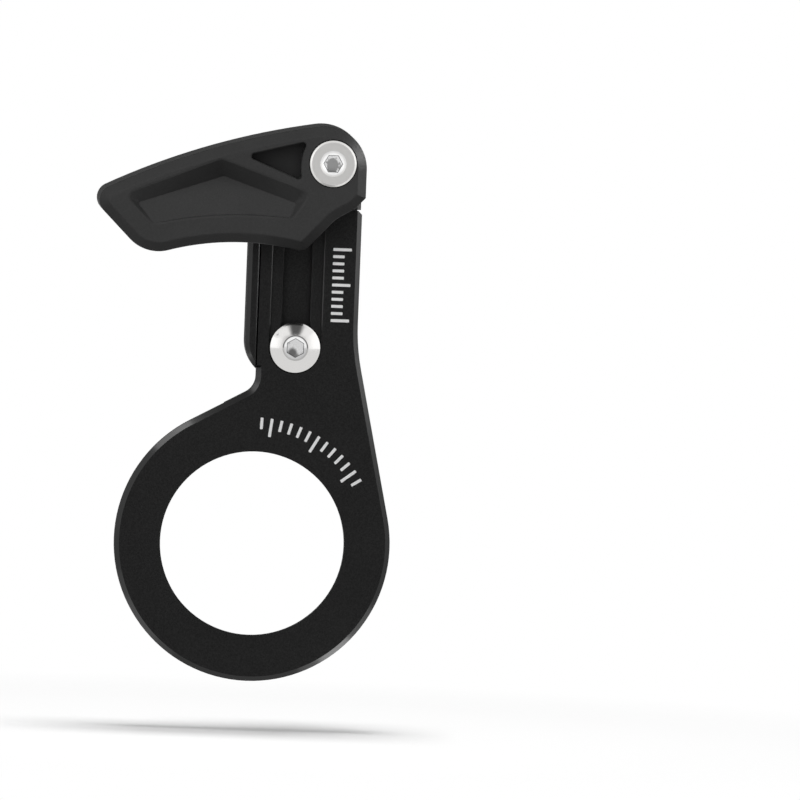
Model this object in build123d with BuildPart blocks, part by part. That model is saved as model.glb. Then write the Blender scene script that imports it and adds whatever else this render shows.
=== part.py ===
from build123d import *
import os
from math import cos, pi, radians, sin, tan

# Frame: the origin lies on the bottom bracket axis, in the ring's frame-side face.
# +X is the bike's front, +Z runs up the slot, and -Y is outboard, towards the chainring.
# Sketches lie in the XZ plane, so plane offsets and extrusions count outboard.

os.makedirs("parts", exist_ok=True)

# Pitch radius of a 30-tooth chainring, and the rise from there to a 40-tooth one
chain_radius = 60.75
travel = 20.2

# Back plate
bore_diameter = 35.0
ring_diameter = 52.4
ring_thickness = 2.5
shell_relief = 1.0
arm_thickness = 4.0
arm_left = -0.4
arm_width = 18.95
flank_angle = 12.3
flank_blend = 40.0
shoulder_angle = 28.8
shoulder_drop = 1.35
shoulder_fillet = 3.5
plate_chamfer = 0.9
arm_corner = 0.6
slot_x = 6.75
slot_bridge = 3.4
counterbore_depth = 1.0
edge_break = 0.2

# Bolts
thread_diameter = 5.0
thread_clearance = 0.05
shank_clearance = 0.15
head_clearance = 0.1
recess_clearance = 0.2
hex_key = 3.0
hex_depth = 1.6
tip_chamfer = 0.5
button_diameter = 9.5
button_height = 2.3
button_rim = 1.1
button_flat = 4.9
button_mouth = 4.6
button_mouth_depth = 0.15
button_dome = 6.5
slider_bolt_tip = 0.9
low_head_diameter = 8.8
low_head_height = 2.2
low_head_chamfer = 0.35
low_head_drop = 0.2
low_head_mouth = 4.95
low_head_mouth_depth = 0.35
low_head_proud = 0.3
guide_bolt_thread = 5.3

# Slider
rail_gap = 0.3
rail_width = 2.05
rail_proud = 0.7
rail_chamfer = 0.75
rail_foot = 2.85
tail_gap = 0.1
tail_thickness = 3.0
tail_margin = 2.4
tail_foot = 6.45
tail_corner = 7.5
back_chamfer = 0.5
head_gap = 0.3
head_wrap = 4.5
head_slope = 15.2
head_margin = 0.25
head_round = 6.0

# Guide, with heights counted from the chain on the smallest chainring
guide_bolt_x = 11.72
guide_bolt_rise = 12.76
pad_thickness = 3.2
key_gap = 0.2
inner_wall = 2.3
inner_inset = 0.7
inner_chamfer = 0.5
channel_width = 8.6
outer_wall = 5.0
bevel_width = 1.8
bevel_depth = 1.6
bevel_round = 0.5
mouth_break = 0.2
peg_diameter = 3.0
peg_length = 3.0
peg_clearance = 0.1
peg_x = 0.5
peg_rise = 14.2

# Guide outline corners
tip = (-34.1, 5.1)
crown = (-7.3, 16.0)
brow = (18.2, 20.9)
notch_top = (18.2, 6.4)
notch_foot = (16.35, 4.4)
bend = (12.55, 2.1)
toe = (6.85, -4.15)
arch = (-5.35, -2.8)
heel = (-22.9, -6.15)
tip_round = 2.8
brow_round = 8.15
bend_round = 8.0
toe_round = 2.2
heel_round = 7.5

# Ceiling of the chain channel
ceiling_rear = (-38.0, -0.2)
ceiling_ridge = (-7.0, 12.3)
ceiling_front = (24.0, 1.65)
channel_bottom = -20.0
ridge_round = 4.0

# Ramped pocket in the guide's face
pocket_rear = (-27.55, 5.7)
pocket_top = (-9.45, 13.05)
pocket_front = (7.75, 7.05)
pocket_toe = (4.45, 2.05)
pocket_arch = (-7.75, 2.3)
pocket_heel = (-22.2, 0.05)
floor_rear = (-24.95, 4.05)
floor_top = (-8.7, 9.55)
floor_front = (5.05, 4.95)
floor_toe = (4.0, 2.2)
floor_arch = (-7.7, 2.45)
floor_heel = (-21.8, 0.35)
pocket_round = 1.2
floor_round = 0.4
ramp_tilt = 21.0
ramp_depth = 0.15

# Window beside the guide bolt
window_rear = (-5.1, 13.75)
window_wall = 6.0
window_top_reach = (4.75, 4.11)
window_foot_reach = (5.65, -3.59)
window_round = 0.6
window_depth = 5.0

# Levels outboard of the ring's frame-side face
level_tolerance = 0.01
plate_front = ring_thickness
arm_back = plate_front - arm_thickness
counterbore_floor = plate_front - counterbore_depth
tail_front = arm_back - tail_gap
tail_back = tail_front - tail_thickness
head_front = plate_front
rail_front = plate_front + rail_proud
inner_back = head_front + pad_thickness
inner_front = inner_back + inner_wall
wall_back = inner_front + channel_width
guide_front = wall_back + outer_wall
low_head_seat = guide_front + low_head_proud - low_head_height

# Outline of the plate: a ring with an arm on two lines tangent to it
ring_radius = ring_diameter / 2
arm_right = arm_left + arm_width
flank_foot = (ring_radius * cos(radians(flank_angle)), ring_radius * sin(radians(flank_angle)))
flank_top = (arm_right, flank_foot[1] + (flank_foot[0] - arm_right) / tan(radians(flank_angle)))
shoulder_foot = (-ring_radius * sin(radians(shoulder_angle)), ring_radius * cos(radians(shoulder_angle)))
shoulder = (arm_left, shoulder_foot[1] + (arm_left - shoulder_foot[0]) * tan(radians(shoulder_angle)))

# Places in the plate and the slider, from the shoulder up
tail_bottom = shoulder[1] + shoulder_drop
slot_bottom = tail_bottom + tail_foot
slot_width = thread_diameter + 2 * shank_clearance
counterbore_width = button_diameter + 2 * head_clearance
arm_top = slot_bottom + travel + slot_width / 2 + slot_bridge
rail_right = arm_left - rail_gap
rail_left = rail_right - rail_width
tail_right = arm_right - tail_margin
head_bottom = arm_top + head_gap
head_right = arm_right - head_margin
pad_left = rail_right + key_gap
pad_right = head_right - plate_chamfer
guide_bolt_z = chain_radius + guide_bolt_rise
slider_bolt_place = (slot_x, slot_bottom)
guide_bolt_place = (guide_bolt_x, guide_bolt_z)


def guide_plane(outboard):
    return Plane(origin=(0, -outboard, chain_radius), x_dir=(1, 0, 0), z_dir=(0, -1, 0))


def corner(sketch, point):
    return sketch.vertices().sort_by_distance(point)[0]


def edges_at(part, outboard):
    return part.edges().filter_by(lambda edge: abs(edge.center().Y + outboard) < level_tolerance)


with BuildSketch() as plate_outline:
    with BuildLine():
        Polyline(
            flank_foot,
            flank_top,
            (arm_right, arm_top),
            (arm_left, arm_top),
            shoulder,
            shoulder_foot,
            close=True,
        )
    make_face()
    Circle(ring_radius)
    chamfer(corner(plate_outline, (arm_right, arm_top)), arm_corner)
    fillet(corner(plate_outline, flank_top), flank_blend)
    fillet(corner(plate_outline, shoulder), shoulder_fillet)

with BuildSketch() as slot_outline:
    with Locations((slot_x, slot_bottom + travel / 2)):
        SlotCenterToCenter(travel, slot_width, rotation=90)

with BuildSketch() as counterbore_outline:
    with Locations(slider_bolt_place):
        Circle(counterbore_width / 2)
        Rectangle(counterbore_width, arm_top, align=(Align.CENTER, Align.MIN))

with BuildPart() as back_plate:
    with BuildSketch(Plane.XZ.offset(arm_back)):
        add(plate_outline.sketch_local)
    extrude(amount=arm_thickness)
    # The ring is thinner than the arm, to seat against the shell
    with BuildSketch(Plane.XZ.offset(arm_back)):
        Circle(ring_radius + shell_relief)
    extrude(amount=-arm_back, mode=Mode.SUBTRACT)
    front_edges = back_plate.faces().sort_by(Axis.Y)[0].edges()
    chamfer(front_edges.filter_by(lambda edge: edge.center().Z < arm_top - arm_corner), plate_chamfer)
    chamfer(back_plate.faces().sort_by(Axis.Y)[-1].edges(), edge_break)
    # The edge beside the rail stays square
    with BuildSketch(Plane.XZ.offset(plate_front - plate_chamfer)):
        with Locations((arm_left, tail_bottom + rail_foot)):
            Rectangle(plate_chamfer, arm_top - tail_bottom - rail_foot, align=(Align.MIN, Align.MIN))
    extrude(amount=plate_chamfer)
    with BuildSketch(Plane.XZ.offset(arm_back)):
        Circle(bore_diameter / 2)
    extrude(amount=arm_thickness, mode=Mode.SUBTRACT)
    # Counterbored slot with broken edges, its counterbore open at the arm's top
    with BuildSketch(Plane.XZ.offset(counterbore_floor)):
        add(counterbore_outline.sketch_local)
    extrude(amount=counterbore_depth, mode=Mode.SUBTRACT)
    with BuildSketch(Plane.XZ.offset(plate_front - edge_break)):
        add(counterbore_outline.sketch_local)
    extrude(amount=edge_break, taper=-45, mode=Mode.SUBTRACT)
    with BuildSketch(Plane.XZ.offset(arm_back)):
        add(slot_outline.sketch_local)
    extrude(amount=arm_thickness, mode=Mode.SUBTRACT)
    with BuildSketch(Plane.XZ.offset(counterbore_floor - edge_break)):
        add(slot_outline.sketch_local)
    extrude(amount=edge_break, taper=-45, mode=Mode.SUBTRACT)
back_plate.part.label = "back_plate"
export_step(back_plate.part, "parts/back_plate.step")

# Outlines of the slider: a tail behind the arm and a head above it
head_crest = guide_bolt_z + head_wrap / cos(radians(head_slope))
head_brow = (head_right, head_crest + (head_right - guide_bolt_x) * tan(radians(head_slope)))
head_shoulder = (rail_left, head_crest - (guide_bolt_x - rail_left) * tan(radians(head_slope)))

with BuildSketch() as tail_outline:
    with BuildLine():
        Polyline(
            (rail_left, tail_bottom),
            (tail_right, tail_bottom),
            (tail_right, head_bottom),
            (rail_left, head_bottom),
            close=True,
        )
    make_face()
    fillet(corner(tail_outline, (rail_left, tail_bottom)), tail_corner)
    fillet(corner(tail_outline, (tail_right, tail_bottom)), tail_corner)

with BuildSketch() as head_outline:
    with BuildLine():
        Polyline(
            head_brow,
            head_shoulder,
            (rail_left, head_bottom),
            (head_right, head_bottom),
            close=True,
        )
    make_face()
    fillet(corner(head_outline, head_brow), head_round)

with BuildPart() as slider:
    with BuildSketch(Plane.XZ.offset(tail_back)):
        add(tail_outline.sketch_local)
        add(head_outline.sketch_local)
    extrude(amount=tail_thickness)
    with BuildSketch(Plane.XZ.offset(tail_back)):
        add(head_outline.sketch_local)
    extrude(amount=head_front - tail_back)
    # The rail runs up the left side, proud of the arm's face
    with BuildSketch(Plane.XZ.offset(tail_back)):
        add(tail_outline.sketch_local)
        add(head_outline.sketch_local)
        with Locations((rail_left, tail_bottom)):
            Rectangle(rail_width, guide_bolt_z, align=(Align.MIN, Align.MIN), mode=Mode.INTERSECT)
    extrude(amount=rail_front - tail_back)
    chamfer(slider.faces().sort_by(Axis.Y)[0].edges().sort_by(Axis.X)[:2], rail_chamfer)
    chamfer(slider.faces().sort_by(Axis.Y)[0].edges().sort_by(Axis.X)[-1], edge_break)
    chamfer(slider.faces().sort_by(Axis.Y)[-1].edges(), back_chamfer)
    chamfer(edges_at(slider, head_front).sort_by(Axis.X)[-1], plate_chamfer)
    with BuildSketch(Plane.XZ.offset(tail_back)):
        with Locations(slider_bolt_place, guide_bolt_place):
            Circle(thread_diameter / 2)
    extrude(amount=head_front - tail_back, mode=Mode.SUBTRACT)
slider.part.label = "slider"
export_step(slider.part, "parts/slider.step")

with BuildSketch() as guide_outline:
    with BuildLine():
        ThreePointArc(tip, crown, brow)
        Polyline(brow, notch_top, notch_foot, bend, toe)
        ThreePointArc(toe, arch, heel)
        Line(heel, tip)
    make_face()
    fillet(corner(guide_outline, tip), tip_round)
    fillet(corner(guide_outline, brow), brow_round)
    fillet(corner(guide_outline, bend), bend_round)
    fillet(corner(guide_outline, toe), toe_round)
    fillet(corner(guide_outline, heel), heel_round)

with BuildSketch() as channel_outline:
    with BuildLine():
        Polyline(
            ceiling_rear,
            ceiling_ridge,
            ceiling_front,
            (ceiling_front[0], channel_bottom),
            (ceiling_rear[0], channel_bottom),
            close=True,
        )
    make_face()
    fillet(corner(channel_outline, ceiling_ridge), ridge_round)

with BuildPart() as inner_guide:
    with BuildSketch(guide_plane(inner_back)):
        add(guide_outline.sketch_local)
        offset(amount=-inner_inset, mode=Mode.REPLACE)
    extrude(amount=inner_wall)
    chamfer(inner_guide.faces().sort_by(Axis.Y)[0].edges(), inner_chamfer)
    # The pad bears on the slider's head and keys against its rail
    with BuildSketch(Plane.XZ.offset(head_front)):
        add(head_outline.sketch_local)
        with Locations((pad_left, head_bottom)):
            Rectangle(pad_right - pad_left, guide_bolt_z, align=(Align.MIN, Align.MIN), mode=Mode.INTERSECT)
    extrude(amount=inner_back - head_front)
    with BuildSketch(guide_plane(inner_front)):
        with Locations((peg_x, peg_rise)):
            Circle(peg_diameter / 2)
    extrude(amount=peg_length)
    with BuildSketch(Plane.XZ.offset(head_front)):
        with Locations(guide_bolt_place):
            Circle(thread_diameter / 2 + shank_clearance)
    extrude(amount=inner_front - head_front, mode=Mode.SUBTRACT)
inner_guide.part.label = "inner_guide"
export_step(inner_guide.part, "parts/inner_guide.step")

# The pocket's floor is a ramp, deepest at the top
ramp_plane = Plane(
    origin=(0, ramp_depth - guide_front, chain_radius),
    x_dir=(1, 0, 0),
    z_dir=(0, -cos(radians(ramp_tilt)), sin(radians(ramp_tilt))),
)


def pocket_sketch(plane, points, arch_point, stretch, radius):
    rear, top, front, low_front, low_rear = [(x, rise * stretch) for x, rise in points]
    with BuildSketch(plane) as pocket:
        with BuildLine():
            Polyline(low_rear, rear, top, front, low_front)
            ThreePointArc(low_front, (arch_point[0], arch_point[1] * stretch), low_rear)
        make_face()
        fillet(pocket.vertices(), radius)
    return pocket.sketch


pocket_mouth = pocket_sketch(
    guide_plane(guide_front),
    (pocket_rear, pocket_top, pocket_front, pocket_toe, pocket_heel),
    pocket_arch,
    1,
    pocket_round,
)
pocket_floor = pocket_sketch(
    ramp_plane,
    (floor_rear, floor_top, floor_front, floor_toe, floor_heel),
    floor_arch,
    1 / cos(radians(ramp_tilt)),
    floor_round,
)

window_top = (guide_bolt_x - window_top_reach[0], guide_bolt_rise + window_top_reach[1])
window_foot = (guide_bolt_x - window_foot_reach[0], guide_bolt_rise + window_foot_reach[1])

with BuildPart() as outer_guide:
    with BuildSketch(guide_plane(wall_back)):
        add(guide_outline.sketch_local)
    extrude(amount=outer_wall)
    face = outer_guide.faces().sort_by(Axis.Y)[0]
    chamfer(face.edges(), bevel_width, bevel_depth, reference=face)
    fillet(outer_guide.faces().sort_by(Axis.Y)[0].edges(), bevel_round)
    fillet(edges_at(outer_guide, guide_front - bevel_depth), bevel_round)
    # The roof block spans the chain channel
    with BuildSketch(guide_plane(inner_front)):
        add(guide_outline.sketch_local)
        add(channel_outline.sketch_local, mode=Mode.SUBTRACT)
    extrude(amount=channel_width)
    loft([pocket_mouth, pocket_floor], ruled=True, mode=Mode.SUBTRACT)
    chamfer(outer_guide.faces().sort_by(Axis.Y)[0].inner_wires()[0].edges(), mouth_break)
    with BuildSketch(guide_plane(guide_front - window_depth)) as window:
        with BuildLine():
            Polyline(window_foot, window_rear, window_top)
            ThreePointArc(window_top, (guide_bolt_x - window_wall, guide_bolt_rise), window_foot)
        make_face()
        fillet(window.vertices(), window_round)
    extrude(amount=window_depth, mode=Mode.SUBTRACT)
    with BuildSketch(guide_plane(guide_front - edge_break)):
        add(window.sketch_local)
    extrude(amount=edge_break, taper=-45, mode=Mode.SUBTRACT)
    with BuildSketch(guide_plane(inner_front)):
        with Locations((peg_x, peg_rise)):
            Circle(peg_diameter / 2 + peg_clearance)
    extrude(amount=peg_length + peg_clearance, mode=Mode.SUBTRACT)
    with BuildSketch(guide_plane(inner_front)):
        with Locations((guide_bolt_x, guide_bolt_rise)):
            Circle(thread_diameter / 2 + shank_clearance)
    extrude(amount=guide_front - inner_front, mode=Mode.SUBTRACT)
    with BuildSketch(guide_plane(low_head_seat)):
        with Locations((guide_bolt_x, guide_bolt_rise)):
            Circle(low_head_diameter / 2 + recess_clearance)
    extrude(amount=guide_front - low_head_seat, mode=Mode.SUBTRACT)
outer_guide.part.label = "outer_guide"
export_step(outer_guide.part, "parts/outer_guide.step")

# Bolts are turned about their own axes, each from a plane through its axis
shank_radius = thread_diameter / 2 - thread_clearance
slider_bolt_length = counterbore_floor - tail_back + slider_bolt_tip
guide_bolt_length = low_head_seat - head_front + guide_bolt_thread
hex_radius = hex_key / 2 / cos(pi / 6)


def bolt_plane(place, outboard):
    return Plane(origin=(place[0], -outboard, place[1]), x_dir=(1, 0, 0), z_dir=(0, 0, 1))


def socket_plane(place, outboard):
    return Plane(origin=(place[0], -outboard, place[1]), x_dir=(1, 0, 0), z_dir=(0, -1, 0))


def bolt_axis(place):
    return Axis((place[0], 0, place[1]), (0, 1, 0))


with BuildPart() as slider_bolt:
    with BuildSketch(bolt_plane(slider_bolt_place, counterbore_floor)):
        with BuildLine():
            Polyline(
                (button_flat / 2, -button_height),
                (button_mouth / 2, -button_height),
                (hex_key / 2, button_mouth_depth - button_height),
                (0, button_mouth_depth - button_height),
                (0, slider_bolt_length),
                (shank_radius - tip_chamfer, slider_bolt_length),
                (shank_radius, slider_bolt_length - tip_chamfer),
                (shank_radius, 0),
                (button_diameter / 2, 0),
                (button_diameter / 2, -button_rim),
            )
            RadiusArc((button_diameter / 2, -button_rim), (button_flat / 2, -button_height), button_dome)
        make_face()
    revolve(axis=bolt_axis(slider_bolt_place))
    with BuildSketch(socket_plane(slider_bolt_place, counterbore_floor + button_height)):
        RegularPolygon(hex_radius, 6, rotation=90)
    extrude(amount=-hex_depth, mode=Mode.SUBTRACT)
slider_bolt.part.label = "slider_bolt"
export_step(slider_bolt.part, "parts/slider_bolt.step")

with BuildPart() as guide_bolt:
    with BuildSketch(bolt_plane(guide_bolt_place, low_head_seat)):
        with BuildLine():
            Polyline(
                (low_head_mouth / 2, -low_head_height),
                (hex_key / 2, low_head_mouth_depth - low_head_height),
                (0, low_head_mouth_depth - low_head_height),
                (0, guide_bolt_length),
                (shank_radius - tip_chamfer, guide_bolt_length),
                (shank_radius, guide_bolt_length - tip_chamfer),
                (shank_radius, 0),
                (low_head_diameter / 2, 0),
                (low_head_diameter / 2, low_head_drop - low_head_height),
                (low_head_diameter / 2 - low_head_chamfer, -low_head_height),
                close=True,
            )
        make_face()
    revolve(axis=bolt_axis(guide_bolt_place))
    with BuildSketch(socket_plane(guide_bolt_place, low_head_seat + low_head_height)):
        RegularPolygon(hex_radius, 6)
    extrude(amount=-hex_depth, mode=Mode.SUBTRACT)
guide_bolt.part.label = "guide_bolt"
export_step(guide_bolt.part, "parts/guide_bolt.step")
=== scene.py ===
import math

import bpy
from mathutils import Matrix, Vector


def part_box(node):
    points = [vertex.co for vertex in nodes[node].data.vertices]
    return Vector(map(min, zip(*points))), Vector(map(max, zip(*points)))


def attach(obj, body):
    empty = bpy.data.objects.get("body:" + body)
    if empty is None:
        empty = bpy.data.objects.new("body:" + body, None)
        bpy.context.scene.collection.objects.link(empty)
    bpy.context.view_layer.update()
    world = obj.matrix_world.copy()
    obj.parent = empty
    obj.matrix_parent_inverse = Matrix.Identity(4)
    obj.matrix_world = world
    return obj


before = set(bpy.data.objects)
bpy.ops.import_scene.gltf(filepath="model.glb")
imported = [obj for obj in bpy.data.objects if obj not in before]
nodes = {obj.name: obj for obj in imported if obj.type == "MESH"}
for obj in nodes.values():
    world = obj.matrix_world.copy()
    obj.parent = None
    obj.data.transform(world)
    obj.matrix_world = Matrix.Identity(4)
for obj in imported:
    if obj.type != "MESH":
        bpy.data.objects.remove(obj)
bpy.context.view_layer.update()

scene = bpy.context.scene
mm = 0.001
print("frame loaded:", ", ".join(sorted(nodes)))


def toneColour(level, tint=(1, 1, 1)):
    return (level * tint[0], level * tint[1], level * tint[2], 1)


def turnTowards(obj, target):
    obj.rotation_mode = "QUATERNION"
    obj.rotation_quaternion = (Vector(target) - obj.location).to_track_quat("-Z", "Y")


def mapRange(tree, value, low, high, fromMin=0.0, fromMax=1.0, smooth=False):
    node = tree.nodes.new("ShaderNodeMapRange")
    node.interpolation_type = "SMOOTHSTEP" if smooth else "LINEAR"
    for socketName, setting in (("Value", value), ("From Min", fromMin), ("From Max", fromMax),
                                ("To Min", low), ("To Max", high)):
        if isinstance(setting, bpy.types.NodeSocket):
            tree.links.new(setting, node.inputs[socketName])
        else:
            node.inputs[socketName].default_value = setting
    return node.outputs["Result"]


def math2(tree, operation, first, second):
    node = tree.nodes.new("ShaderNodeMath")
    node.operation = operation
    for index, setting in enumerate((first, second)):
        if isinstance(setting, bpy.types.NodeSocket):
            tree.links.new(setting, node.inputs[index])
        else:
            node.inputs[index].default_value = setting
    return node.outputs[0]


# 1 where the value lies between the two limits
def between(tree, value, low, high):
    above = math2(tree, "GREATER_THAN", value, low)
    below = math2(tree, "LESS_THAN", value, high)
    return math2(tree, "MULTIPLY", above, below)


# camera: a long lens, a little left of and above the straight view
cameraSet = {
    "azimuth": -3.0,  # degrees, minus is from the left
    "elevation": 3.0,
    "roll": 2.2,
    "distance": 6.5,  # metres
    "clip": (0.1, 100.0),
    "sensor": 36.0,
    "imagePixels": 800,
    "pixelsPerMm": 5.2686,
    "borePixel": (252.07, 543.5),  # where the bore's centre lies in the picture
}


def placeCamera():
    azimuth = math.radians(cameraSet["azimuth"])
    elevation = math.radians(cameraSet["elevation"])
    roll = math.radians(cameraSet["roll"])
    back = Vector((
        math.sin(azimuth) * math.cos(elevation),
        -math.cos(azimuth) * math.cos(elevation),
        math.sin(elevation),
    ))
    right = Vector((math.cos(azimuth), math.sin(azimuth), 0))
    up = back.cross(right)
    imageRight = math.cos(roll) * right + math.sin(roll) * up
    imageUp = math.cos(roll) * up - math.sin(roll) * right
    metresPerPixel = mm / cameraSet["pixelsPerMm"]
    half = cameraSet["imagePixels"] / 2
    boreCentre = Vector((0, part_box("back_plate")[0].y, 0))
    toMiddle = ((half - cameraSet["borePixel"][0]) * metresPerPixel,
                (cameraSet["borePixel"][1] - half) * metresPerPixel)
    middle = boreCentre + imageRight * toMiddle[0] + imageUp * toMiddle[1]
    bpy.ops.object.camera_add()
    camera = bpy.context.object
    camera.name = "photoCamera"
    turn = Matrix((imageRight, imageUp, back)).transposed()
    place = middle + back * cameraSet["distance"]
    camera.matrix_world = Matrix.LocRotScale(place, turn.to_quaternion(), None)
    camera.data.sensor_width = cameraSet["sensor"]
    camera.data.lens = cameraSet["sensor"] * cameraSet["distance"] / (2 * half * metresPerPixel)
    camera.data.clip_start, camera.data.clip_end = cameraSet["clip"]
    scene.camera = camera


placeCamera()
print("camera placed")


# world: a white tent round the object, greyer at the opening where the camera stands,
# brighter at its sides and dim behind
tentSet = {
    "wall": 1.0,  # what shiny metal sees
    "sideGain": 1.55,
    "sideEdges": (0.3, 0.9),  # how far across the view it sets in, and is whole
    "rear": 0.15,
    "rearEdges": (-0.05, 0.25),  # how far behind the object
    "opening": 0.54,
    "openingEdge": 10.0,  # degrees from the view line
    "wallEdge": 40.0,
    "roofLight": 0.2,  # the light that falls from above, and from below
    "groundLight": 0.03,
}


def makeTent():
    world = bpy.data.worlds.new("tent")
    scene.world = world
    world.use_nodes = True
    tree = world.node_tree
    tree.nodes.clear()
    coordinate = tree.nodes.new("ShaderNodeTexCoord")
    split = tree.nodes.new("ShaderNodeSeparateXYZ")
    tree.links.new(coordinate.outputs["Generated"], split.inputs[0])
    x, y, z = (split.outputs[axis] for axis in "XYZ")
    offView = [-math.cos(math.radians(tentSet[edge])) for edge in ("openingEdge", "wallEdge")]
    wall = mapRange(tree, y, tentSet["opening"], tentSet["wall"], *offView, smooth=True)
    across = math2(tree, "ABSOLUTE", x, 0.0)
    sides = mapRange(tree, across, 1.0, tentSet["sideGain"], *tentSet["sideEdges"], smooth=True)
    behind = mapRange(tree, y, 1.0, tentSet["rear"], *tentSet["rearEdges"], smooth=True)
    lit = math2(tree, "MULTIPLY", math2(tree, "MULTIPLY", wall, sides), behind)
    rise = mapRange(tree, z, tentSet["groundLight"], tentSet["roofLight"], -1.0, 1.0, smooth=True)
    light = tree.nodes.new("ShaderNodeBackground")
    mirrored = tree.nodes.new("ShaderNodeBackground")
    white = tree.nodes.new("ShaderNodeBackground")
    white.inputs["Color"].default_value = toneColour(1)
    tree.links.new(rise, light.inputs["Color"])
    tree.links.new(lit, mirrored.inputs["Color"])
    path = tree.nodes.new("ShaderNodeLightPath")
    seen = math2(tree, "MAXIMUM", path.outputs["Is Camera Ray"], path.outputs["Is Transmission Ray"])
    inMetal = tree.nodes.new("ShaderNodeMixShader")
    inView = tree.nodes.new("ShaderNodeMixShader")
    output = tree.nodes.new("ShaderNodeOutputWorld")
    tree.links.new(path.outputs["Is Glossy Ray"], inMetal.inputs["Fac"])
    tree.links.new(light.outputs[0], inMetal.inputs[1])
    tree.links.new(mirrored.outputs[0], inMetal.inputs[2])
    tree.links.new(seen, inView.inputs["Fac"])
    tree.links.new(inMetal.outputs[0], inView.inputs[1])
    tree.links.new(white.outputs[0], inView.inputs[2])
    tree.links.new(inView.outputs[0], output.inputs["Surface"])


makeTent()


# soft boxes: place, aim and size in mm, how bright their face is,
# whether they light matt faces or show in the gloss, and on which pieces;
# the two fades are dim, and soften the ends of the box beside them
metalPlates = ("back_plate", "slider")
mouldings = ("inner_guide", "outer_guide")
prints = ("armTicks", "ringTicks")
softBoxes = {
    "plateKey": {"at": (-60, -700, 60), "aim": (0, 0, 40), "size": (500, 500), "face": 5.45,
                 "lights": "matt", "on": metalPlates + prints},
    "guideKey": {"at": (-165, -600, 300), "aim": (0, 0, 65), "size": (1000, 1000), "face": 2.5,
                 "lights": "matt", "on": mouldings},
    "upperLeft": {"at": (-20.4, -2, 26.1), "aim": (-16, -2, 20.6), "size": (9, 11), "face": 3.2,
                  "lights": "gloss", "on": metalPlates},
    "right": {"at": (120, -20, 60), "aim": (18, 0, 45), "size": (40, 40), "face": 5.0,
              "lights": "gloss", "on": metalPlates},
    "left": {"at": (-27, -10, 46), "aim": (10, -2, 46), "size": (15, 15), "face": 2.6,
             "lights": "gloss", "on": ("back_plate",)},
    "lowRight": {"at": (24.5, -2, -29.3), "aim": (16.8, -2, -20.1), "size": (16, 10), "face": 5.0,
                 "lights": "gloss", "on": metalPlates},
    "lowRightFade": {"at": (22.5, -2, -24.1), "aim": (16.8, -2, -18), "size": (16, 24), "face": 1.2,
                     "lights": "gloss", "on": metalPlates},
    "lowLeft": {"at": (-31.6, -2, -24.7), "aim": (-20.6, -2, -16.1), "size": (16, 15), "face": 0.7,
                "lights": "gloss", "on": metalPlates},
    "lowLeftFade": {"at": (-26.8, -2, -19.5), "aim": (-20.6, -2, -15), "size": (16, 26), "face": 0.5,
                    "lights": "gloss", "on": metalPlates},
    "brow": {"at": (362, 20, 200), "aim": (15, -15, 70), "size": (60, 150), "face": 185.0,
             "lights": "gloss", "on": mouldings},
    "backLeft": {"at": (-480, 590, 190), "aim": (0, 0, 40), "size": (500, 500), "face": 6.6,
                 "lights": "matt", "on": metalPlates + mouldings},
    "backRight": {"at": (480, 590, 190), "aim": (0, 0, 40), "size": (500, 500), "face": 6.6,
                  "lights": "matt", "on": metalPlates + mouldings},
    "floorKey": {"at": (-10, -70, 760), "aim": (-5, 0, -30), "size": (230, 230), "face": 48.0,
                 "lights": "matt", "on": ("floor",)},
}


def hangSoftBoxes(pieces):
    for name, box in softBoxes.items():
        bpy.ops.object.light_add(type="AREA", location=Vector(box["at"]) * mm)
        lamp = bpy.context.object
        lamp.name = name
        lamp.data.shape = "RECTANGLE"
        lamp.data.size = box["size"][0] * mm
        lamp.data.size_y = box["size"][1] * mm
        lamp.data.energy = box["face"] * math.pi * lamp.data.size * lamp.data.size_y
        lamp.visible_camera = False
        lamp.visible_diffuse = box["lights"] == "matt"
        lamp.visible_glossy = box["lights"] == "gloss"
        turnTowards(lamp, Vector(box["aim"]) * mm)
        lit = bpy.data.collections.new(name + "Pieces")
        for pieceName in box["on"]:
            lit.objects.link(pieces[pieceName])
        lamp.light_linking.receiver_collection = lit


# a reflector card over the slider's bolt, white with a dark stripe, which only the gloss sees
cardSet = {
    "from": (-34, -31),  # mm
    "to": (30, -9),
    "height": 56.0,
    "stripe": (1.0, 14.6),
    "stripeEdge": 3.2,
    "tones": (0.12, 1.2),
}


def hangCard():
    bpy.ops.object.select_all(action="DESELECT")
    low, high = (Vector(corner) * mm for corner in (cardSet["from"], cardSet["to"]))
    bpy.ops.mesh.primitive_plane_add(size=1)
    card = bpy.context.object
    card.name = "reflectorCard"
    card.scale = (high.x - low.x, high.y - low.y, 1)
    card.location = ((low.x + high.x) / 2, (low.y + high.y) / 2, cardSet["height"] * mm)
    bpy.ops.object.transform_apply(location=True, rotation=True, scale=True)
    for ray in ("camera", "diffuse", "transmission", "volume_scatter", "shadow"):
        setattr(card, "visible_" + ray, False)
    material = bpy.data.materials.new("stripedCard")
    material.use_nodes = True
    tree = material.node_tree
    tree.nodes.clear()
    coordinate = tree.nodes.new("ShaderNodeTexCoord")
    split = tree.nodes.new("ShaderNodeSeparateXYZ")
    tree.links.new(coordinate.outputs["Object"], split.inputs[0])
    left, right = (side * mm for side in cardSet["stripe"])
    offMiddle = math2(tree, "SUBTRACT", split.outputs["X"], (left + right) / 2)
    offMiddle = math2(tree, "ABSOLUTE", offMiddle, 0.0)
    half = (right - left) / 2
    edge = cardSet["stripeEdge"] * mm
    glow = tree.nodes.new("ShaderNodeEmission")
    tone = mapRange(tree, offMiddle, *cardSet["tones"], half - edge, half + edge, smooth=True)
    tree.links.new(tone, glow.inputs["Strength"])
    output = tree.nodes.new("ShaderNodeOutputMaterial")
    tree.links.new(glow.outputs[0], output.inputs["Surface"])
    card.data.materials.append(material)


hangCard()


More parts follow.
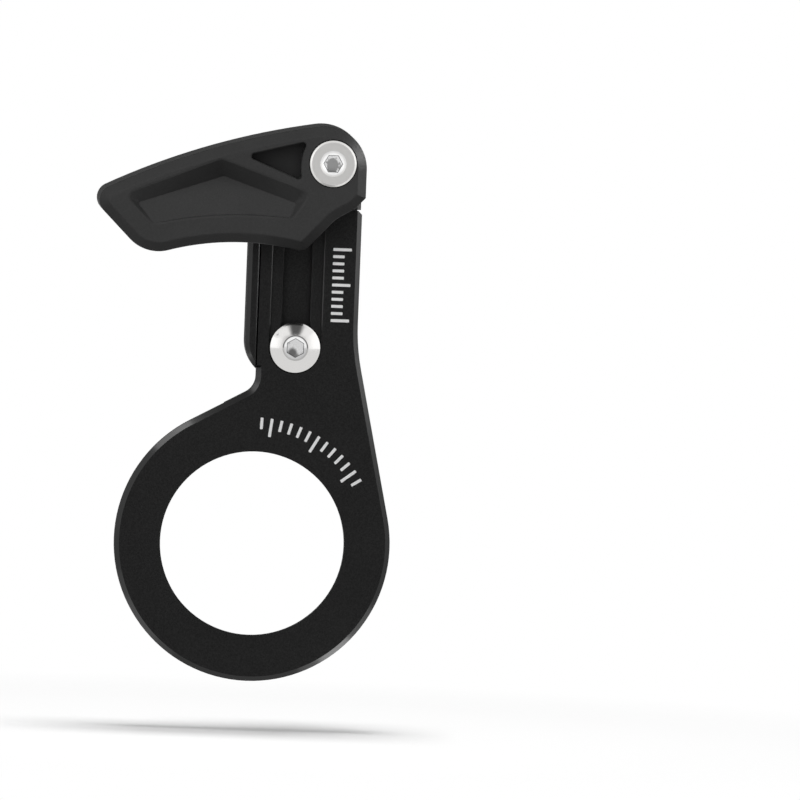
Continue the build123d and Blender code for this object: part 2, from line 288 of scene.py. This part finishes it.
# floor: white in metal, and to the camera apart from the object's shadow
floorSet = {
    "height": -35.5,  # mm
    "radius": 900.0,
    "sides": 96,
    "paint": 0.5,
    "lift": 0.3,  # what the camera sees on top of the lit paint
    "fade": (90.0, 170.0),  # mm from the axis, beyond which it is plain white
}


def layFloor():
    bpy.ops.object.select_all(action="DESELECT")
    bpy.ops.mesh.primitive_circle_add(
        vertices=floorSet["sides"], radius=floorSet["radius"] * mm, fill_type="NGON",
        location=(0, 0, floorSet["height"] * mm))
    floor = bpy.context.object
    floor.name = "floor"
    material = bpy.data.materials.new("paleFloor")
    material.use_nodes = True
    tree = material.node_tree
    tree.nodes.clear()
    paint = tree.nodes.new("ShaderNodeBsdfDiffuse")
    paint.inputs["Color"].default_value = toneColour(floorSet["paint"])
    glow = tree.nodes.new("ShaderNodeEmission")
    white = tree.nodes.new("ShaderNodeEmission")
    path = tree.nodes.new("ShaderNodeLightPath")
    inView = path.outputs["Is Camera Ray"]
    tree.links.new(math2(tree, "MULTIPLY", inView, floorSet["lift"]), glow.inputs["Strength"])
    both = tree.nodes.new("ShaderNodeAddShader")
    tree.links.new(paint.outputs[0], both.inputs[0])
    tree.links.new(glow.outputs[0], both.inputs[1])
    coordinate = tree.nodes.new("ShaderNodeTexCoord")
    fromAxis = tree.nodes.new("ShaderNodeVectorMath")
    fromAxis.operation = "LENGTH"
    tree.links.new(coordinate.outputs["Object"], fromAxis.inputs[0])
    near, away = (reach * mm for reach in floorSet["fade"])
    far = mapRange(tree, fromAxis.outputs["Value"], 0.0, 1.0, near, away, smooth=True)
    blend = tree.nodes.new("ShaderNodeMixShader")
    output = tree.nodes.new("ShaderNodeOutputMaterial")
    farInView = math2(tree, "MULTIPLY", far, inView)
    tree.links.new(math2(tree, "MAXIMUM", farInView, path.outputs["Is Glossy Ray"]), blend.inputs["Fac"])
    tree.links.new(both.outputs[0], blend.inputs[1])
    tree.links.new(white.outputs[0], blend.inputs[2])
    tree.links.new(blend.outputs[0], output.inputs["Surface"])
    floor.data.materials.append(material)
    floor.visible_diffuse = False  # it throws no light back up
    return floor


floor = layFloor()
scene.view_settings.view_transform = "Standard"
print("tent, card and floor ready")


# shared surface effects

def newGroup(name, inputs, outputs):
    group = bpy.data.node_groups.new(name, "ShaderNodeTree")
    for socketName, kind in inputs:
        group.interface.new_socket(socketName, in_out="INPUT", socket_type=kind)
    for socketName, kind in outputs:
        group.interface.new_socket(socketName, in_out="OUTPUT", socket_type=kind)
    return group, group.nodes.new("NodeGroupInput"), group.nodes.new("NodeGroupOutput")


# grain: fine speckle of a blasted or spark-eroded surface
grainSet = {
    "detail": 2,
    "roughness": 0.6,
    "span": (0.32, 0.68),  # the noise that comes out darkest and lightest
    "cloudsPerMetre": 140,
    "cloudDetail": 3,
    "cloudSpan": (0.3, 0.7),
}


def makeGrainGroup():
    group, given, result = newGroup(
        "surfaceGrain",
        [("Colour", "NodeSocketColor"), ("Cells per metre", "NodeSocketFloat"),
         ("Variation", "NodeSocketFloat"), ("Cloud", "NodeSocketFloat")],
        [("Colour", "NodeSocketColor"), ("Height", "NodeSocketFloat")])
    coordinate = group.nodes.new("ShaderNodeTexCoord")
    speckle = group.nodes.new("ShaderNodeTexNoise")
    speckle.inputs["Detail"].default_value = grainSet["detail"]
    speckle.inputs["Roughness"].default_value = grainSet["roughness"]
    cloud = group.nodes.new("ShaderNodeTexNoise")
    cloud.inputs["Scale"].default_value = grainSet["cloudsPerMetre"]
    cloud.inputs["Detail"].default_value = grainSet["cloudDetail"]
    group.links.new(coordinate.outputs["Object"], speckle.inputs["Vector"])
    group.links.new(coordinate.outputs["Object"], cloud.inputs["Vector"])
    group.links.new(given.outputs["Cells per metre"], speckle.inputs["Scale"])
    dark = math2(group, "SUBTRACT", 1.0, given.outputs["Variation"])
    light = math2(group, "ADD", 1.0, given.outputs["Variation"])
    fine = mapRange(group, speckle.outputs["Fac"], dark, light, *grainSet["span"])
    dim = math2(group, "SUBTRACT", 1.0, given.outputs["Cloud"])
    bright = math2(group, "ADD", 1.0, given.outputs["Cloud"])
    broad = mapRange(group, cloud.outputs["Fac"], dim, bright, *grainSet["cloudSpan"])
    scale = group.nodes.new("ShaderNodeVectorMath")
    scale.operation = "SCALE"
    group.links.new(given.outputs["Colour"], scale.inputs[0])
    group.links.new(math2(group, "MULTIPLY", fine, broad), scale.inputs["Scale"])
    group.links.new(scale.outputs[0], result.inputs["Colour"])
    group.links.new(speckle.outputs["Fac"], result.inputs["Height"])
    return group


# cut edges: 1 on the chamfers, which lie halfway between a face and a side
cutEdgeSet = {"facing": (0.45, 0.9)}  # a side has 0 and a face 1


def makeCutEdgeGroup():
    group, given, result = newGroup("cutEdges", [], [("Mask", "NodeSocketFloat")])
    geometry = group.nodes.new("ShaderNodeNewGeometry")
    split = group.nodes.new("ShaderNodeSeparateXYZ")
    group.links.new(geometry.outputs["True Normal"], split.inputs[0])
    facing = math2(group, "ABSOLUTE", split.outputs["Y"], 0.0)
    group.links.new(between(group, facing, *cutEdgeSet["facing"]), result.inputs["Mask"])
    group.nodes.remove(given)
    return group


# turning: rings about a bolt's own axis, and where a point lies round it
turnedSet = {
    "ringsPerMetre": 9000,
    "detail": 2,
    "span": (0.3, 0.7),  # the noise that is smoothest and roughest
}


def makeTurnedGroup():
    group, given, result = newGroup(
        "turnedRings",
        [("Axis", "NodeSocketVector")],
        [("Height", "NodeSocketFloat"), ("Radius", "NodeSocketFloat"), ("Along", "NodeSocketFloat"),
         ("Turn", "NodeSocketFloat")])
    coordinate = group.nodes.new("ShaderNodeTexCoord")
    fromAxis = group.nodes.new("ShaderNodeVectorMath")
    fromAxis.operation = "SUBTRACT"
    flat = group.nodes.new("ShaderNodeVectorMath")
    flat.operation = "MULTIPLY"
    flat.inputs[1].default_value = (1, 0, 1)
    length = group.nodes.new("ShaderNodeVectorMath")
    length.operation = "LENGTH"
    split = group.nodes.new("ShaderNodeSeparateXYZ")
    rings = group.nodes.new("ShaderNodeTexNoise")
    rings.noise_dimensions = "1D"
    rings.inputs["Scale"].default_value = turnedSet["ringsPerMetre"]
    rings.inputs["Detail"].default_value = turnedSet["detail"]
    group.links.new(coordinate.outputs["Object"], fromAxis.inputs[0])
    group.links.new(given.outputs["Axis"], fromAxis.inputs[1])
    group.links.new(fromAxis.outputs[0], flat.inputs[0])
    group.links.new(fromAxis.outputs[0], split.inputs[0])
    group.links.new(flat.outputs[0], length.inputs[0])
    group.links.new(length.outputs["Value"], rings.inputs["W"])
    group.links.new(rings.outputs["Fac"], result.inputs["Height"])
    group.links.new(length.outputs["Value"], result.inputs["Radius"])
    group.links.new(split.outputs["Y"], result.inputs["Along"])
    angle = math2(group, "ARCTAN2", split.outputs["Z"], split.outputs["X"])
    group.links.new(math2(group, "DIVIDE", angle, 2 * math.pi), result.inputs["Turn"])
    return group


# hexagon: how far a point lies from a socket's axis, measured square to the nearest flat
def makeHexagonGroup():
    group, given, result = newGroup(
        "hexagonReach",
        [("Axis", "NodeSocketVector"), ("Turn", "NodeSocketFloat")],
        [("Reach", "NodeSocketFloat")])
    coordinate = group.nodes.new("ShaderNodeTexCoord")
    fromAxis = group.nodes.new("ShaderNodeVectorMath")
    fromAxis.operation = "SUBTRACT"
    turned = group.nodes.new("ShaderNodeVectorRotate")
    turned.rotation_type = "Y_AXIS"
    group.links.new(coordinate.outputs["Object"], fromAxis.inputs[0])
    group.links.new(given.outputs["Axis"], fromAxis.inputs[1])
    group.links.new(fromAxis.outputs[0], turned.inputs["Vector"])
    group.links.new(given.outputs["Turn"], turned.inputs["Angle"])
    reach = 0.0
    for degrees in (0, 60, 120):  # one for each pair of flats
        angle = math.radians(degrees)
        square = group.nodes.new("ShaderNodeVectorMath")
        square.operation = "DOT_PRODUCT"
        square.inputs[1].default_value = (math.cos(angle), 0, math.sin(angle))
        group.links.new(turned.outputs[0], square.inputs[0])
        reach = math2(group, "MAXIMUM", reach, math2(group, "ABSOLUTE", square.outputs["Value"], 0.0))
    group.links.new(reach, result.inputs["Reach"])
    return group


grainGroup = makeGrainGroup()
cutEdgeGroup = makeCutEdgeGroup()
turnedGroup = makeTurnedGroup()
hexagonGroup = makeHexagonGroup()


def newMaterial(name):
    material = bpy.data.materials.new(name)
    material.use_nodes = True
    tree = material.node_tree
    return material, tree, tree.nodes["Principled BSDF"]


def placeGroup(tree, group, **values):
    node = tree.nodes.new("ShaderNodeGroup")
    node.node_tree = group
    for socketName, value in values.items():
        node.inputs[socketName.replace("_", " ")].default_value = value
    return node


def mixColour(tree, factor, first, second):
    node = tree.nodes.new("ShaderNodeMix")
    node.data_type = "RGBA"
    tree.links.new(factor, node.inputs["Factor"])
    for socketName, setting in (("A", first), ("B", second)):
        socket = [s for s in node.inputs if s.name == socketName and s.type == "RGBA"][0]
        if isinstance(setting, bpy.types.NodeSocket):
            tree.links.new(setting, socket)
        else:
            socket.default_value = setting
    return [s for s in node.outputs if s.type == "RGBA"][0]


def addBump(tree, height, distance):
    bump = tree.nodes.new("ShaderNodeBump")
    bump.inputs["Distance"].default_value = distance * mm
    bump.inputs["Strength"].default_value = 1
    tree.links.new(height, bump.inputs["Height"])
    return bump.outputs["Normal"]


# black anodised aluminium: blasted faces, chamfers cut smooth afterwards
anodisedSet = {
    "face": toneColour(0.0152),
    "chamfer": toneColour(0.033),
    "specular": 0.08,
    "faceRoughness": 0.52,
    "chamferRoughness": 0.28,
    "chamferMetallic": 0.85,
    "cells": 4200,
    "variation": 0.35,
    "cloud": 0.06,
    "bump": 0.02,  # mm
}


def makeAnodised():
    material, tree, shader = newMaterial("blackAnodised")
    grain = placeGroup(tree, grainGroup, Colour=anodisedSet["face"], Cells_per_metre=anodisedSet["cells"],
                       Variation=anodisedSet["variation"], Cloud=anodisedSet["cloud"])
    edges = placeGroup(tree, cutEdgeGroup)
    mask = edges.outputs["Mask"]
    colour = mixColour(tree, mask, grain.outputs["Colour"], anodisedSet["chamfer"])
    roughness = mapRange(tree, mask, anodisedSet["faceRoughness"], anodisedSet["chamferRoughness"])
    metallic = math2(tree, "MULTIPLY", mask, anodisedSet["chamferMetallic"])
    height = math2(tree, "MULTIPLY", grain.outputs["Height"], math2(tree, "SUBTRACT", 1.0, mask))
    tree.links.new(colour, shader.inputs["Base Color"])
    tree.links.new(roughness, shader.inputs["Roughness"])
    tree.links.new(metallic, shader.inputs["Metallic"])
    tree.links.new(addBump(tree, height, anodisedSet["bump"]), shader.inputs["Normal"])
    shader.inputs["Specular IOR Level"].default_value = anodisedSet["specular"]
    return material


# black nylon: moulded, with a fine matt texture
nylonSet = {
    "colour": toneColour(0.033),
    "specular": 0.05,
    "roughness": (0.40, 0.50),
    "span": (0.3, 0.7),  # the grain heights that are smoothest and roughest
    "cells": 3400,
    "variation": 0.07,
    "cloud": 0.05,
    "bump": 0.008,  # mm
    "windowFloor": (4.3, 5.5),  # mm below the face
    "windowFacing": -0.8,  # turned this much to the front, at least
    # how much darker the painted shade makes the window's floor
    "windowShadeTone": 0.65,
}


# 1 on the window's floor, where painted shade darkens the deep recess
def maskWindowShade(tree):
    coordinate = tree.nodes.new("ShaderNodeTexCoord")
    place = tree.nodes.new("ShaderNodeSeparateXYZ")
    geometry = tree.nodes.new("ShaderNodeNewGeometry")
    facing = tree.nodes.new("ShaderNodeSeparateXYZ")
    tree.links.new(coordinate.outputs["Object"], place.inputs[0])
    tree.links.new(geometry.outputs["True Normal"], facing.inputs[0])
    low, high = (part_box("outer_guide")[0].y + depth * mm for depth in nylonSet["windowFloor"])
    deep = between(tree, place.outputs["Y"], low, high)
    toFront = math2(tree, "LESS_THAN", facing.outputs["Y"], nylonSet["windowFacing"])
    return math2(tree, "MULTIPLY", deep, toFront)


def makeNylon():
    material, tree, shader = newMaterial("blackNylon")
    grain = placeGroup(tree, grainGroup, Colour=nylonSet["colour"], Cells_per_metre=nylonSet["cells"],
                       Variation=nylonSet["variation"], Cloud=nylonSet["cloud"])
    roughness = mapRange(tree, grain.outputs["Height"], *nylonSet["roughness"], *nylonSet["span"])
    # the window's floor is painted darker: painted shade for the recess
    windowShadeColour = toneColour(nylonSet["colour"][0] * nylonSet["windowShadeTone"])
    colour = mixColour(tree, maskWindowShade(tree), grain.outputs["Colour"], windowShadeColour)
    tree.links.new(colour, shader.inputs["Base Color"])
    tree.links.new(roughness, shader.inputs["Roughness"])
    tree.links.new(addBump(tree, grain.outputs["Height"], nylonSet["bump"]), shader.inputs["Normal"])
    shader.inputs["Specular IOR Level"].default_value = nylonSet["specular"]
    return material


# stainless steel, turned on a lathe, with a rolled thread on the shank; sizes in mm
steelSets = {
    "guide_bolt": {
        "colour": toneColour(0.74, (1, 0.99, 0.97)),
        "roughness": (0.30, 0.42),
        "bump": 0.004,
        "head": 4.0,
        "hexTurn": 30,  # degrees
        "mouth": (1.9, 2.35),  # radii, where its painted highlight fades
        "mouthHighlightTone": 0.97,
        "rim": (2.3, 2.5),
        "rimDarkReflectionTone": 0.74,
        "shadeCentre": (0.05, -0.45),  # the middle of the painted shade, from the axis
        "shadeReach": (1.05, 1.45),
        "socketShadeTones": (0.40, 1.0),
    },
    "slider_bolt": {
        "colour": toneColour(0.67, (1, 0.99, 0.975)),
        "roughness": (0.10, 0.2),
        "bump": 0.0015,
        "head": 3.0,
        "hexTurn": 0,
        "mouth": (2.0, 2.3),
        "mouthHighlightTone": 0.9,
        "rim": (2.2, 2.42),
        "rimDarkReflectionTone": 0.22,
        "shadeCentre": (-0.5, -0.8),
        "shadeReach": (0.3, 1.5),
        "socketShadeTones": (0.2, 1.0),
    },
}
socketSet = {
    "radius": 1.8,
    "below": 0.5,
    "edge": (1.505, 1.62),  # the broached edge, from the axis, where a painted shade line stands for the hex walls
    "edgeShadeTone": 0.12,
    "blotchesPerMetre": 620,
    "blotchSpan": (0.35, 0.65),
    "uneven": 0.4,
}
threadSet = {"pitch": 0.8, "depth": 0.4, "radii": (1.9, 2.6)}


# the thread's height in mm, behind the head only
def threadHeight(tree, turned, headEnd):
    steps = math2(tree, "DIVIDE", turned.outputs["Along"], threadSet["pitch"] * mm)
    helix = math2(tree, "PINGPONG", math2(tree, "ADD", steps, turned.outputs["Turn"]), 0.5)
    inner, outer = (radius * mm for radius in threadSet["radii"])
    onShank = between(tree, turned.outputs["Radius"], inner, outer)
    behindHead = math2(tree, "GREATER_THAN", turned.outputs["Along"], headEnd)
    threaded = math2(tree, "MULTIPLY", onShank, behindHead)
    return math2(tree, "MULTIPLY", math2(tree, "MULTIPLY", helix, threaded), 2 * threadSet["depth"])


# the mouth of the socket: a painted highlight on its ring, a painted dark reflection under the upper half
# of its rim and a painted shade line at the broached edge
def paintMouthLightAndShade(tree, turned, steel, axis, face):
    radius = turned.outputs["Radius"]
    nearFace = math2(tree, "LESS_THAN", turned.outputs["Along"], face + socketSet["below"] * mm)
    inner, outer = (reach * mm for reach in steel["mouth"])
    inMouth = mapRange(tree, radius, 1.0, 0.0, inner, outer, smooth=True)
    mouth = math2(tree, "MULTIPLY", inMouth, nearFace)
    # painted highlight: the ring round the socket's mouth is coloured brighter
    colour = mixColour(tree, mouth, steel["colour"], toneColour(steel["mouthHighlightTone"]))
    inner, outer = (reach * mm for reach in steel["rim"])
    upperHalf = between(tree, turned.outputs["Turn"], 0.0, 0.5)  # of a turn
    onRim = math2(tree, "MULTIPLY", between(tree, radius, inner, outer), upperHalf)
    darkReflectionMask = math2(tree, "MULTIPLY", onRim, nearFace)
    # painted dark reflection under the upper half of the rim
    colour = mixColour(tree, darkReflectionMask, colour, toneColour(steel["rimDarkReflectionTone"]))
    hexagon = placeGroup(tree, hexagonGroup, Axis=axis, Turn=math.radians(steel["hexTurn"]))
    inner, outer = (reach * mm for reach in socketSet["edge"])
    edgeShadeMask = math2(tree, "MULTIPLY", mouth, between(tree, hexagon.outputs["Reach"], inner, outer))
    # painted shade line at the broached edge, for the hex walls in shade
    return mixColour(tree, edgeShadeMask, colour, toneColour(socketSet["edgeShadeTone"]))


# the tone inside the socket: painted shade, darkest round a middle off the axis, with an uneven outline
def paintSocketShade(tree, steel, axis):
    coordinate = tree.nodes.new("ShaderNodeTexCoord")
    blotches = tree.nodes.new("ShaderNodeTexNoise")
    blotches.inputs["Scale"].default_value = socketSet["blotchesPerMetre"]
    tree.links.new(coordinate.outputs["Object"], blotches.inputs["Vector"])
    least, most = 1 - socketSet["uneven"], 1 + socketSet["uneven"]
    uneven = mapRange(tree, blotches.outputs["Fac"], least, most, *socketSet["blotchSpan"])
    middle = (axis[0] + steel["shadeCentre"][0] * mm, 0, axis[2] + steel["shadeCentre"][1] * mm)
    shadeCentre = placeGroup(tree, turnedGroup, Axis=middle)
    # painted shade: darkest near its middle, lighter outward
    fromShadeCentre = math2(tree, "MULTIPLY", shadeCentre.outputs["Radius"], uneven)
    inner, outer = (reach * mm for reach in steel["shadeReach"])
    return mapRange(tree, fromShadeCentre, *steel["socketShadeTones"], inner, outer, smooth=True)


# the bolt head's colour carries painted highlight, painted reflection and painted shade round the socket
def colourBolt(tree, turned, steel, axis, face):
    nearAxis = math2(tree, "LESS_THAN", turned.outputs["Radius"], socketSet["radius"] * mm)
    top, bottom = face + socketSet["below"] * mm, face + steel["head"] * mm
    inSocket = math2(tree, "MULTIPLY", nearAxis, between(tree, turned.outputs["Along"], top, bottom))
    mouth = paintMouthLightAndShade(tree, turned, steel, axis, face)
    return mixColour(tree, inSocket, mouth, paintSocketShade(tree, steel, axis))


def makeSteel(name):
    steel = steelSets[name]
    low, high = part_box(name)
    axis = ((low.x + high.x) / 2, 0, (low.z + high.z) / 2)
    material, tree, shader = newMaterial(name + "Steel")
    turned = placeGroup(tree, turnedGroup, Axis=axis)
    roughness = mapRange(tree, turned.outputs["Height"], *steel["roughness"], *turnedSet["span"])
    rings = math2(tree, "MULTIPLY", turned.outputs["Height"], steel["bump"])
    thread = threadHeight(tree, turned, low.y + steel["head"] * mm)
    surface = addBump(tree, math2(tree, "ADD", rings, thread), 1.0)  # both heights are in mm already
    tree.links.new(colourBolt(tree, turned, steel, axis, low.y), shader.inputs["Base Color"])
    tree.links.new(roughness, shader.inputs["Roughness"])
    tree.links.new(surface, shader.inputs["Normal"])
    shader.inputs["Metallic"].default_value = 1
    return material


def dress(nodeName, material):
    node = nodes[nodeName]
    node.data.materials.clear()
    node.data.materials.append(material)


# white ink, a little uneven as screen printing leaves it
inkSet = {
    "colour": toneColour(0.9),
    "roughness": 0.6,
    "cells": 5200,
    "variation": 0.06,
    "cloud": 0.03,
}


def makeInk():
    material, tree, shader = newMaterial("whiteInk")
    grain = placeGroup(tree, grainGroup, Colour=inkSet["colour"], Cells_per_metre=inkSet["cells"],
                       Variation=inkSet["variation"], Cloud=inkSet["cloud"])
    tree.links.new(grain.outputs["Colour"], shader.inputs["Base Color"])
    shader.inputs["Roughness"].default_value = inkSet["roughness"]
    return material


# plain printed ticks: a height scale up the arm, and an angle scale on the ring
tickSet = {
    "short": 2.2,  # mm
    "long": 3.5,
    "longEvery": 5,
    "width": 0.55,
    "corner": 0.12,
    "cornerSegments": 3,
    "film": 0.05,  # half of it lies in the face
    "armCount": 11,
    "armFoot": (13.3, 42.9),  # the lowest tick's left end
    "armStep": 1.35,
    "ringCount": 13,
    "ringRadius": 24.0,  # the ticks' outer ends
    "ringMiddle": 60.0,  # degrees
    "ringStep": 4.6,
}


# one tick, from the origin along X, facing the front
def modelTick(length):
    bpy.ops.object.select_all(action="DESELECT")
    bpy.ops.mesh.primitive_plane_add(size=1)
    tick = bpy.context.object
    tick.scale = (length * mm, tickSet["width"] * mm, 1)
    tick.location = (length * mm / 2, 0, -tickSet["film"] * mm / 2)
    bpy.ops.object.transform_apply(location=True, rotation=True, scale=True)
    bpy.ops.object.mode_set(mode="EDIT")
    bpy.ops.mesh.select_all(action="SELECT")
    bpy.ops.mesh.bevel(
        offset=tickSet["corner"] * mm, segments=tickSet["cornerSegments"], affect="VERTICES")
    bpy.ops.mesh.select_all(action="SELECT")
    bpy.ops.mesh.extrude_region_move(TRANSFORM_OT_translate={"value": (0, 0, tickSet["film"] * mm)})
    bpy.ops.mesh.select_all(action="SELECT")
    bpy.ops.mesh.normals_make_consistent(inside=False)
    bpy.ops.object.mode_set(mode="OBJECT")
    tick.rotation_euler = (math.pi / 2, 0, 0)
    bpy.ops.object.transform_apply(location=True, rotation=True, scale=True)
    return tick


# places are (x, z, angle) in mm and degrees; the middle tick and every fifth from it are long
def printTicks(name, places, ink):
    short, long = modelTick(tickSet["short"]), modelTick(tickSet["long"])
    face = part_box("back_plate")[0].y
    copies = []
    for index, (x, z, angle) in enumerate(places):
        fromMiddle = index - len(places) // 2
        bpy.ops.object.select_all(action="DESELECT")
        model = short if fromMiddle % tickSet["longEvery"] else long
        model.select_set(True)
        bpy.context.view_layer.objects.active = model
        bpy.ops.object.duplicate(linked=False)
        tick = bpy.context.object
        tick.location = (x * mm, face, z * mm)
        tick.rotation_euler = (0, -math.radians(angle), 0)
        copies.append(tick)
    bpy.ops.object.select_all(action="DESELECT")
    for tick in (short, long):
        tick.select_set(True)
    bpy.ops.object.delete()
    for tick in copies:
        tick.select_set(True)
    bpy.context.view_layer.objects.active = copies[0]
    bpy.ops.object.join()
    bpy.ops.object.transform_apply(location=True, rotation=True, scale=True)
    ticks = bpy.context.object
    ticks.name = name
    ticks.data.name = name
    ticks.data.materials.append(ink)
    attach(ticks, "mount_plate")
    return ticks


def armPlaces():
    left, foot = tickSet["armFoot"]
    return [(left, foot + index * tickSet["armStep"], 0) for index in range(tickSet["armCount"])]


def ringPlaces():
    places = []
    radius = tickSet["ringRadius"]
    for index in range(tickSet["ringCount"]):
        angle = tickSet["ringMiddle"] + (index - tickSet["ringCount"] // 2) * tickSet["ringStep"]
        x = radius * math.cos(math.radians(angle))
        z = radius * math.sin(math.radians(angle))
        places.append((x, z, angle + 180))  # each points at the axis
    return places


ink = makeInk()
pieces = dict(nodes, floor=floor)
pieces["armTicks"] = printTicks("armTicks", armPlaces(), ink)
pieces["ringTicks"] = printTicks("ringTicks", ringPlaces(), ink)
print("ticks printed")
hangSoftBoxes(pieces)
print("soft boxes hung")


anodised = makeAnodised()
nylon = makeNylon()
for nodeName in metalPlates:
    dress(nodeName, anodised)
for nodeName in mouldings:
    dress(nodeName, nylon)
for nodeName in steelSets:
    dress(nodeName, makeSteel(nodeName))
print("finishes on")
